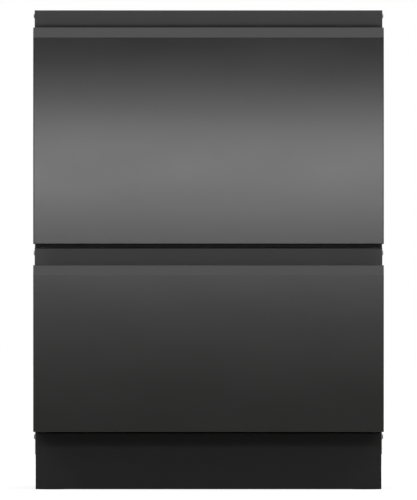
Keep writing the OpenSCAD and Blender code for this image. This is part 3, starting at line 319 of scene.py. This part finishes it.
def brushed_dark_steel(name, colour, grain):
    """Dark coated stainless steel, brushed from side to side: satin, with fine level lines."""
    material, tree, shader, place = new_material(name)
    lines = noise(tree, place, grain, stretch=(0.02, 1, 1), detail=3.0)
    clouds = noise(tree, place, 60 * MM, stretch=(0.4, 1, 1))
    finish_shader(
        tree,
        shader,
        Base_Color=tinted(tree, colour, lines, 0.97, 1.03),
        Metallic=1.0,
        Roughness=spread(tree, clouds, 0.225, 0.245),
        Normal=bump(tree, lines, 0.004 * MM),
    )
    return material


def satin_sheet(name, colour, grain, gloss=0.5, rough=0.45):
    """Satin painted sheet: even, with a faint orange peel; gloss is its specular level."""
    material, tree, shader, place = new_material(name)
    peel = noise(tree, place, grain)
    clouds = noise(tree, place, 45 * MM)
    finish_shader(
        tree,
        shader,
        Base_Color=tinted(tree, colour, clouds, 0.96, 1.04),
        Specular_IOR_Level=gloss,
        Roughness=spread(tree, clouds, rough - 0.03, rough + 0.03),
        Normal=bump(tree, peel, 0.01 * MM),
    )
    return material


def galvanised_sheet(name, colour, spangle):
    """Hot dipped zinc: flat crystals that each catch the light a little differently."""
    material, tree, shader, place = new_material(name)
    crystals = add(
        tree,
        "ShaderNodeTexVoronoi",
        {"Vector": place, "Scale": 1 / spangle, "Randomness": 1.0},
        feature="F1",
    )
    tone = add(tree, "ShaderNodeSeparateColor", {"Color": crystals.outputs["Color"]}).outputs["Red"]
    fine = noise(tree, place, 1.2 * MM)
    smear = noise(tree, place, 90 * MM)
    mixed = add(tree, "ShaderNodeMath", {0: tone, 1: smear}, operation="ADD").outputs["Value"]
    level = spread(tree, mixed, 0.3, 0.7, start=0.3, end=1.7)
    finish_shader(
        tree,
        shader,
        Base_Color=tinted(tree, colour, level, 0.86, 1.06),
        Metallic=1.0,
        Roughness=spread(tree, tone, 0.34, 0.5, start=0.0, end=1.0),
        Normal=bump(tree, fine, 0.006 * MM),
    )
    return material


def rolled_steel(name, colour):
    """Zinc plated rolled steel: lines along the runner and a soft sheen."""
    material, tree, shader, place = new_material(name)
    lines = noise(tree, place, 0.5 * MM, stretch=(1, 0.02, 1), detail=3.0)
    clouds = noise(tree, place, 30 * MM, stretch=(1, 0.3, 1))
    finish_shader(
        tree,
        shader,
        Base_Color=tinted(tree, colour, clouds, 0.88, 1.05),
        Metallic=1.0,
        Roughness=spread(tree, clouds, 0.26, 0.36),
        Normal=bump(tree, lines, 0.006 * MM),
    )
    return material


def moulded_plastic(name, colour, grain, rough=0.45, depth=0.012):
    """Moulded polypropylene or ABS: spark-eroded grain, and slow changes of tone from the flow."""
    material, tree, shader, place = new_material(name)
    grains = noise(tree, place, grain, detail=1.0)
    flow = noise(tree, place, 70 * MM, detail=3.0)
    finish_shader(
        tree,
        shader,
        Base_Color=tinted(tree, colour, flow, 0.93, 1.06),
        Roughness=spread(tree, flow, rough - 0.05, rough + 0.05),
        Normal=bump(tree, grains, depth * MM),
    )
    return material


def coated_wire(name, colour):
    """Nylon dipped steel wire: glossy, with slow thick and thin places in the coat."""
    material, tree, shader, place = new_material(name)
    coat = noise(tree, place, 6 * MM)
    finish_shader(
        tree,
        shader,
        Base_Color=tinted(tree, colour, coat, 0.94, 1.04),
        Roughness=spread(tree, coat, 0.22, 0.34),
        Normal=bump(tree, coat, 0.03 * MM),
    )
    return material


def soft_rubber(name, colour):
    """Moulded rubber: dark and dull, with a bloom of paler dust."""
    material, tree, shader, place = new_material(name)
    bloom = noise(tree, place, 18 * MM, detail=4.0)
    skin = noise(tree, place, 0.4 * MM)
    finish_shader(
        tree,
        shader,
        Base_Color=tinted(tree, colour, bloom, 0.85, 1.3),
        Roughness=spread(tree, bloom, 0.6, 0.78),
        Normal=bump(tree, skin, 0.01 * MM),
    )
    return material


def rolled_thread(name, colour, pitch, axis, metallic=0.0, rough=0.4):
    """A fine thread: even ridges across the axis, drawn as bump on the smooth shaft, with painted
    shade in the grooves.
    """
    material, tree, shader, place = new_material(name)
    waves = add(
        tree,
        "ShaderNodeTexWave",
        {"Vector": place, "Scale": math.tau / 20 / pitch, "Distortion": 0.0},
        wave_type="BANDS",
        bands_direction=axis,
    ).outputs["Fac"]
    finish_shader(
        tree,
        shader,
        # painted shade: the colour is darkest (0.55) in the grooves of the thread and a little
        # lighter on the crests
        Base_Color=tinted(tree, colour, spread(tree, waves, 0.3, 0.7, start=0, end=1), 0.55, 1.05),
        Metallic=metallic,
        Roughness=rough,
        Normal=bump(tree, waves, 0.5 * MM),
    )
    return material


def smoked_acrylic(name, colour):
    """Cast acrylic light guide: glassy, with a faint haze inside."""
    material, tree, shader, place = new_material(name)
    haze = noise(tree, place, 1.5 * MM)
    finish_shader(
        tree,
        shader,
        Base_Color=tinted(tree, colour, haze, 0.92, 1.05),
        Roughness=spread(tree, haze, 0.06, 0.12),
        IOR=1.49,
    )
    return material


def pressed_bitumen(name, colour):
    """Bitumen pad: dull, with the square grid that the press leaves and a rough skin."""
    material, tree, shader, place = new_material(name)
    quarter = (0, math.radians(90), 0)
    upright = add(tree, "ShaderNodeMapping", {"Vector": place, "Rotation": quarter})
    cells = add(
        tree,
        "ShaderNodeTexBrick",
        {
            "Vector": upright.outputs["Vector"],
            "Scale": 1.0,
            "Brick Width": 12 * MM,
            "Row Height": 12 * MM,
            "Mortar Size": 0.8 * MM,
            "Mortar Smooth": 0.5,
        },
        offset=0.0,
    ).outputs["Fac"]
    grit = noise(tree, place, 1.4 * MM, detail=3.0)
    pits = bump(tree, grit, 0.12 * MM)
    finish_shader(
        tree,
        shader,
        Base_Color=tinted(tree, colour, grit, 0.75, 1.3),
        Roughness=spread(tree, grit, 0.62, 0.8),
        Normal=bump(tree, cells, -0.5 * MM, under=pits),
    )
    return material


def make_finishes(f):
    """The record's slots and their materials."""
    grain = f.mould_grain
    return {
        "dark_steel": brushed_dark_steel("brushed_dark_stainless", f.front_steel, f.brush_grain),
        "console_sheet": satin_sheet("satin_painted_console", f.console, 0.8 * MM),
        "kick": satin_sheet("black_powder_coat", f.kick, 1.2 * MM, gloss=0.2, rough=0.5),
        "galvanised": galvanised_sheet("galvanised_sheet", f.zinc, f.spangle),
        "runner_steel": rolled_steel("zinc_plated_runner", f.runner),
        "frame_plastic": moulded_plastic("black_abs_frame", f.black, grain),
        "tub_plastic": moulded_plastic("grey_polypropylene_tub", f.tub, grain, rough=0.38),
        "lid_plastic": moulded_plastic("grey_polypropylene_lid", f.lid, grain, rough=0.42),
        "seal_rubber": soft_rubber("black_seal_rubber", f.rubber),
        "rack_coating": coated_wire("nylon_coated_wire", f.wire),
        "basket_plastic": moulded_plastic("dark_polypropylene_basket", f.basket, grain, rough=0.4),
        "spray_plastic": moulded_plastic("grey_polypropylene_spray_arm", f.arm, grain, rough=0.4),
        "filter_plastic": moulded_plastic("grey_polypropylene_filter", f.arm, grain, rough=0.4),
        "dispenser_plastic": moulded_plastic("dark_abs_dispenser", f.basket, grain, rough=0.35),
        "cap_plastic": moulded_plastic("blue_grey_abs_cap", f.cap, grain, rough=0.3),
        "motor_plastic": moulded_plastic("black_glass_filled_nylon", f.black, grain, rough=0.5),
        "button_plastic": moulded_plastic("satin_grey_button", f.basket, grain, rough=0.3),
        "foot_plastic": moulded_plastic("grey_glass_filled_nylon", f.black, grain, rough=0.55),
        "valve_plastic": moulded_plastic("white_nylon_valve", f.nylon, grain, rough=0.4),
        "hose_rubber": soft_rubber("grey_hose_rubber", f.rubber),
        "link_plastic": moulded_plastic("black_polypropylene_link", f.black, grain, rough=0.5),
        "foot_thread": rolled_thread(
            "zinc_plated_foot_thread", f.runner, 1.75 * MM, "Z", metallic=1.0, rough=0.35
        ),
        "inlet_thread": rolled_thread("moulded_inlet_thread", f.nylon, 1.8 * MM, "Y"),
        "light_guide": smoked_acrylic("smoked_acrylic_light_guide", f.guide),
        "damping_pad": pressed_bitumen("pressed_bitumen_pad", f.bitumen),
    }


# Every finish by its slot, filled in by the finishes operator
FINISHES = {}


def node_slots():
    """Which slot each construction node takes its finish from."""
    slots = {p["node"]: p["material_slot"] for p in frame["record"]["subparts"]}
    for drawer in DRAWERS:
        slots[drawer + "_console"] = "console_sheet"
    return slots


# ---------- shapes ----------


def finished(name, mesh, material, body=None, smooth=None):
    """Turns a bmesh into an object that rides on a body; smooth is its sharpest smooth angle."""
    data = bpy.data.meshes.new(name)
    mesh.to_mesh(data)
    mesh.free()
    data.materials.append(material)
    if smooth is not None:
        data.shade_smooth()
        data.set_sharp_from_angle(angle=math.radians(smooth))
    piece = bpy.data.objects.new(name, data)
    bpy.context.scene.collection.objects.link(piece)
    if body:
        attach(piece, body)
    return piece


def join(mesh, part):
    """Moves all of one bmesh into another."""
    data = bpy.data.meshes.new("part")
    part.to_mesh(data)
    part.free()
    mesh.from_mesh(data)
    bpy.data.meshes.remove(data)


def add_block(mesh, low, high, rounding=0.0, segments=2):
    """Adds a box between two corners in millimetres, with rounded edges."""
    part = bmesh.new()
    bmesh.ops.create_cube(part, size=1.0)
    bmesh.ops.scale(part, vec=[(h - l) * MM for l, h in zip(low, high)], verts=part.verts)
    bmesh.ops.translate(part, vec=[(h + l) / 2 * MM for l, h in zip(low, high)], verts=part.verts)
    if rounding:
        bmesh.ops.bevel(
            part,
            geom=part.edges[:],
            offset=rounding * MM,
            segments=segments,
            profile=0.5,
            affect="EDGES",
            material=-1,
        )
    join(mesh, part)


def add_turned(mesh, outline, place, axis=(0, 0, 1), steps=24, closed=False):
    """Adds a solid turned from (radius, height) points, set at a place and along an axis."""
    part = bmesh.new()
    verts = [part.verts.new((radius * MM, 0, height * MM)) for radius, height in outline]
    pairs = list(zip(verts, verts[1:])) + ([(verts[-1], verts[0])] if closed else [])
    edges = [part.edges.new(pair) for pair in pairs]
    bmesh.ops.spin(
        part,
        geom=verts + edges,
        cent=(0, 0, 0),
        axis=(0, 0, 1),
        angle=math.tau,
        steps=steps,
        use_merge=True,
    )
    bmesh.ops.remove_doubles(part, verts=part.verts, dist=0.01 * MM)
    bmesh.ops.recalc_face_normals(part, faces=part.faces)
    turn = Vector((0, 0, 1)).rotation_difference(Vector(axis)).to_matrix()
    bmesh.ops.rotate(part, cent=(0, 0, 0), matrix=turn, verts=part.verts)
    bmesh.ops.translate(part, vec=[c * MM for c in place], verts=part.verts)
    join(mesh, part)


def add_screw(mesh, place, axis, washer=5.5, head=4.0):
    """Adds a hexagon screw head on its washer, both given by their radius."""
    thick, top = 0.8, 2.35
    disc = [(0, 0), (washer, 0), (washer, thick - 0.2), (washer - 0.3, thick), (0, thick)]
    hexagon = [(0, thick), (head, thick), (head, 1.9), (head - 0.6, top), (0, top)]
    add_turned(mesh, disc, place, axis)
    add_turned(mesh, hexagon, place, axis, steps=6)


# ---------- stage ----------


def stage_material(name, colour, lift):
    """Pale floor that the camera sees as white, and that keeps its shadows."""
    material = bpy.data.materials.new(name)
    material.use_nodes = True
    tree = material.node_tree
    tree.nodes.clear()
    diffuse = add(tree, "ShaderNodeBsdfDiffuse", {"Color": srgb(colour)})
    glow = add(tree, "ShaderNodeEmission", {"Color": (1, 1, 1, 1), "Strength": lift})
    path = add(tree, "ShaderNodeLightPath")
    seen = add(
        tree,
        "ShaderNodeMath",
        {0: path.outputs["Is Camera Ray"], 1: path.outputs["Is Transmission Ray"]},
        operation="MAXIMUM",
    )
    both = add(tree, "ShaderNodeAddShader", {0: diffuse.outputs[0], 1: glow.outputs[0]})
    mixed = add(
        tree,
        "ShaderNodeMixShader",
        {0: seen.outputs[0], 1: diffuse.outputs[0], 2: both.outputs[0]},
    )
    add(tree, "ShaderNodeOutputMaterial", {"Surface": mixed.outputs[0]})
    return material


def area_lamp(name, place, target, size, power):
    """A rectangular soft lamp that faces a target and isn't seen by the camera."""
    data = bpy.data.lights.new(name, "AREA")
    data.shape = "RECTANGLE"
    data.size, data.size_y = size
    data.energy = power
    lamp = bpy.data.objects.new(name, data)
    bpy.context.scene.collection.objects.link(lamp)
    lamp.location = place
    lamp.rotation_euler = (Vector(target) - Vector(place)).to_track_quat("-Z", "Y").to_euler()
    lamp.visible_camera = False


def build_camera(s):
    """Long lens at the height of the picture's middle, square to the fronts."""
    front = model_box[0][1]
    data = bpy.data.cameras.new("camera")
    data.sensor_width = 36.0
    data.lens = data.sensor_width * s.camera_distance / s.field_height
    data.clip_start, data.clip_end = 0.1, 200.0
    camera = bpy.data.objects.new("camera", data)
    bpy.context.scene.collection.objects.link(camera)
    camera.location = (0, front - s.camera_distance, s.picture_middle)
    camera.rotation_euler = (math.radians(90), 0, 0)
    bpy.context.scene.camera = camera


def build_world():
    """Soft white room: bright above and at the sides, dim low down and before the drawers."""
    world = bpy.data.worlds.new("studio")
    bpy.context.scene.world = world
    world.use_nodes = True
    tree = world.node_tree
    tree.nodes.clear()
    way = add(tree, "ShaderNodeTexCoord").outputs["Generated"]
    axes = add(tree, "ShaderNodeSeparateXYZ", {"Vector": way})
    above = spread(tree, axes.outputs["Z"], 0.02, 1.0, start=0.12, end=0.8)
    front = spread(tree, axes.outputs["Y"], 0.01, 1.0, start=-0.88, end=-0.67)
    level = add(tree, "ShaderNodeMath", {0: above, 1: front}, operation="MULTIPLY").outputs["Value"]
    path = add(tree, "ShaderNodeLightPath")
    white = add(
        tree,
        "ShaderNodeMath",
        {0: path.outputs["Is Camera Ray"], 1: path.outputs["Is Transmission Ray"]},
        operation="MAXIMUM",
    ).outputs["Value"]
    strength = add(
        tree, "ShaderNodeMapRange", {"Value": white, "To Min": level, "To Max": 1.0}
    ).outputs["Result"]
    back = add(tree, "ShaderNodeBackground", {"Color": (1, 1, 1, 1), "Strength": strength})
    add(tree, "ShaderNodeOutputWorld", {"Surface": back.outputs[0]})


def build_floor(s):
    """Pale floor that reaches past every view."""
    mesh = bmesh.new()
    bmesh.ops.create_grid(mesh, x_segments=1, y_segments=1, size=s.floor_size / 2)
    floor = finished("floor", mesh, stage_material("pale_floor", "#a0a09e", 0.76))


# ---------- operators ----------


class DISHWASHER_OT_stage(bpy.types.Operator):
    """Camera, room light, lamps and floor"""

    bl_idname = "dishwasher.stage"
    bl_label = "Stage"

    def execute(self, context):
        s = context.scene.dishwasher_stage
        build_camera(s)
        build_world()
        build_floor(s)
        front = model_box[0][1] - s.lamp_distance
        for name, low, high, power in STRIP_LAMPS:
            middle = (low + high) / 2
            size = (STRIP_LAMP_WIDTH, high - low)
            area_lamp(name, (0, front, middle), (0, 0, middle), size, power)
        for name, place, size, power in ROOM_LAMPS:
            area_lamp(name, place, ROOM_LAMP_TARGET, size, power)
        context.scene.view_settings.view_transform = "Standard"
        return {"FINISHED"}


class DISHWASHER_OT_finishes(bpy.types.Operator):
    """Gives every construction node the material of its slot"""

    bl_idname = "dishwasher.finishes"
    bl_label = "Finishes"

    def execute(self, context):
        FINISHES.update(make_finishes(context.scene.dishwasher_finish))
        for node, slot in node_slots().items():
            data = frame["nodes"][node].data
            data.materials.clear()
            data.materials.append(FINISHES[slot])
        return {"FINISHED"}


class DISHWASHER_OT_seals(bpy.types.Operator):
    """Rubber strip under the upper front, and gaskets on the front edges of the side panels"""

    bl_idname = "dishwasher.seals"
    bl_label = "Seals"

    def execute(self, context):
        rubber = FINISHES["seal_rubber"]
        strip = bmesh.new()
        add_block(strip, *GAP_SEAL, rounding=RUBBER_ROUNDING)
        finished("gap_seal", strip, rubber, "upper_drawer", smooth=40)
        for side, x in (("left", -GASKET_X), ("right", GASKET_X)):
            low, high = zip((x - GASKET_HALF, x + GASKET_HALF), GASKET_Y, GASKET_Z)
            gasket = bmesh.new()
            add_block(gasket, low, high, rounding=RUBBER_ROUNDING)
            finished(f"flange_gasket_{side}", gasket, rubber, "chassis", smooth=40)
        return {"FINISHED"}


class DISHWASHER_OT_fasteners(bpy.types.Operator):
    """Hexagon screws that hold the side panels and the plumbing plate"""

    bl_idname = "dishwasher.fasteners"
    bl_label = "Fasteners"

    def execute(self, context):
        steel = FINISHES["runner_steel"]
        screws = bmesh.new()
        for side in (-1, 1):
            for y, z in SIDE_SCREWS:
                add_screw(screws, (side * SIDE_SCREW_X, y, z), (side, 0, 0))
        finished("side_screws", screws, steel, "chassis", smooth=35)
        screws = bmesh.new()
        for x, z in PLATE_SCREWS:
            add_screw(screws, (x, PLATE_SCREW_Y, z), (0, 1, 0), washer=4.5, head=3.2)
        finished("plumbing_screws", screws, steel, "chassis", smooth=35)
        return {"FINISHED"}


class DISHWASHER_OT_threads(bpy.types.Operator):
    """Threads of the four feet and of the water inlet"""

    bl_idname = "dishwasher.threads"
    bl_label = "Threads"

    def execute(self, context):
        zinc = FINISHES["foot_thread"]
        for name, (x, y) in FEET.items():
            thread = bmesh.new()
            add_turned(thread, FOOT_THREAD, (x, y, 0), steps=32)
            finished(f"foot_thread_{name}", thread, zinc, f"foot_{name}", smooth=40)
        nylon = FINISHES["inlet_thread"]
        thread = bmesh.new()
        add_turned(thread, INLET_THREAD, INLET_PLACE, (0, 1, 0), steps=48, closed=True)
        finished("inlet_thread", thread, nylon, "chassis", smooth=40)
        return {"FINISHED"}


class DISHWASHER_OT_light_guides(bpy.types.Operator):
    """Seven light guides in the top of each console"""

    bl_idname = "dishwasher.light_guides"
    bl_label = "Light guides"

    def execute(self, context):
        acrylic = FINISHES["light_guide"]
        for drawer in DRAWERS:
            guides = bmesh.new()
            for i in range(-GUIDES_EACH_SIDE, GUIDES_EACH_SIDE + 1):
                place = (GUIDE_PITCH * i, GUIDE_Y, LEVELS[drawer]["console"])
                add_turned(guides, GUIDE, place, steps=16)
            body = f"{drawer}_drawer"
            finished(f"{drawer}_light_guides", guides, acrylic, body, smooth=50)
        return {"FINISHED"}


class DISHWASHER_OT_damping_pads(bpy.types.Operator):
    """Bitumen pads on the sides of the tubs"""

    bl_idname = "dishwasher.damping_pads"
    bl_label = "Damping pads"

    def execute(self, context):
        bitumen = FINISHES["damping_pad"]
        for drawer in DRAWERS:
            pads = bmesh.new()
            for x in (-PAD_X, PAD_X):
                low, high = zip((x - PAD_HALF, x + PAD_HALF), PAD_Y, LEVELS[drawer]["pad"])
                add_block(pads, low, high, rounding=PAD_ROUNDING)
            body = f"{drawer}_drawer"
            finished(f"{drawer}_damping_pads", pads, bitumen, body, smooth=40)
        return {"FINISHED"}


class DISHWASHER_OT_spray_nozzles(bpy.types.Operator):
    """Raised rims of the spray holes, and the cap on the hub"""

    bl_idname = "dishwasher.spray_nozzles"
    bl_label = "Spray nozzles"

    def execute(self, context):
        grey = FINISHES["spray_plastic"]
        for drawer in DRAWERS:
            top = LEVELS[drawer]["tub_floor"] + ARM_TOP
            hub = top + CAP_LIFT
            rims = bmesh.new()
            for way in (1, -1):
                for i in range(NOZZLES):
                    x = NOZZLE_FIRST + i * NOZZLE_SPAN / (NOZZLES - 1)
                    y = NOZZLE_Y + NOZZLE_STEP * i
                    place = (way * x, TUB_MIDDLE_Y + way * y, top)
                    add_turned(rims, NOZZLE_RIM, place, steps=20, closed=True)
            add_turned(rims, HUB_CAP, (0, TUB_MIDDLE_Y, hub), steps=32)
            for i in range(CAP_GRIPS):
                grip = bmesh.new()
                add_block(grip, *CAP_GRIP, rounding=0.4)
                turn = Matrix.Rotation(i * math.tau / CAP_GRIPS, 3, "Z")
                bmesh.ops.rotate(grip, cent=(0, 0, 0), matrix=turn, verts=grip.verts)
                bmesh.ops.translate(grip, vec=(0, TUB_MIDDLE_Y * MM, hub * MM), verts=grip.verts)
                join(rims, grip)
            body = f"{drawer}_spray_arm"
            finished(f"{drawer}_spray_nozzles", rims, grey, body, smooth=45)
        return {"FINISHED"}


class DISHWASHER_OT_wire_ends(bpy.types.Operator):
    """Round coated tips on the ends of the rack wires and on the tines"""

    bl_idname = "dishwasher.wire_ends"
    bl_label = "Wire ends"

    def execute(self, context):
        coating = FINISHES["rack_coating"]
        for drawer in DRAWERS:
            wires, top = LEVELS[drawer]["wires"], LEVELS[drawer]["tines"]
            ends = [(x, y, wires) for x in WIRE_COLUMNS for y in WIRE_END_Y]
            ends += [(x, y, wires) for x in WIRE_END_X for y in WIRE_ROWS]
            rows = [WIRE_ROWS[i] + TINE_BEHIND_ROW for i in FIXED_TINE_ROWS]
            ends += [(x, y, top) for y in rows for x in TINES]
            tips = bmesh.new()
            for place in ends:
                add_turned(tips, WIRE_TIP, place, steps=10)
            body = f"{drawer}_drawer"
            finished(f"{drawer}_wire_ends", tips, coating, body, smooth=60)
            y = WIRE_ROWS[FOLDING_TINE_ROW]
            tips = bmesh.new()
            for x in TINES[:-1]:
                add_turned(tips, WIRE_TIP, (x + FOLDING_TINE_SHIFT, y, top), steps=10)
            body = f"{drawer}_tine_row"
            finished(f"{drawer}_tine_row_tips", tips, coating, body, smooth=60)
        return {"FINISHED"}


class DISHWASHER_OT_dispenser_window(bpy.types.Operator):
    """Round window that shows the level of the rinse aid"""

    bl_idname = "dishwasher.dispenser_window"
    bl_label = "Dispenser window"

    def execute(self, context):
        acrylic = FINISHES["light_guide"]
        for drawer in DRAWERS:
            window = bmesh.new()
            place = (WINDOW_X, WINDOW_Y, LEVELS[drawer]["dispenser"] + WINDOW_LIFT)
            add_turned(window, WINDOW, place, (0, 1, 0), steps=32)
            body = f"{drawer}_drawer"
            finished(f"{drawer}_rinse_window", window, acrylic, body, smooth=50)
        return {"FINISHED"}


class DISHWASHER_PT_panel(bpy.types.Panel):
    """Lists the operators of the dishwasher drawer"""

    bl_label = "Dishwasher drawer"
    bl_idname = "DISHWASHER_PT_panel"
    bl_space_type = "VIEW_3D"
    bl_region_type = "UI"
    bl_category = "Dishwasher"

    def draw(self, context):
        for operator in OPERATORS:
            self.layout.operator(operator.bl_idname)


OPERATORS = (
    DISHWASHER_OT_stage,
    DISHWASHER_OT_finishes,
    DISHWASHER_OT_seals,
    DISHWASHER_OT_fasteners,
    DISHWASHER_OT_threads,
    DISHWASHER_OT_light_guides,
    DISHWASHER_OT_damping_pads,
    DISHWASHER_OT_spray_nozzles,
    DISHWASHER_OT_wire_ends,
    DISHWASHER_OT_dispenser_window,
)
CLASSES = (FinishSettings, StageSettings, *OPERATORS, DISHWASHER_PT_panel)


def register():
    for cls in CLASSES:
        bpy.utils.register_class(cls)
    bpy.types.Scene.dishwasher_finish = bpy.props.PointerProperty(type=FinishSettings)
    bpy.types.Scene.dishwasher_stage = bpy.props.PointerProperty(type=StageSettings)


def unregister():
    del bpy.types.Scene.dishwasher_stage
    del bpy.types.Scene.dishwasher_finish
    for cls in reversed(CLASSES):
        bpy.utils.unregister_class(cls)


def main():
    register()
    for operator in OPERATORS:
        group, name = operator.bl_idname.split(".")
        getattr(getattr(bpy.ops, group), name)()


if __name__ == "__main__":
    main()
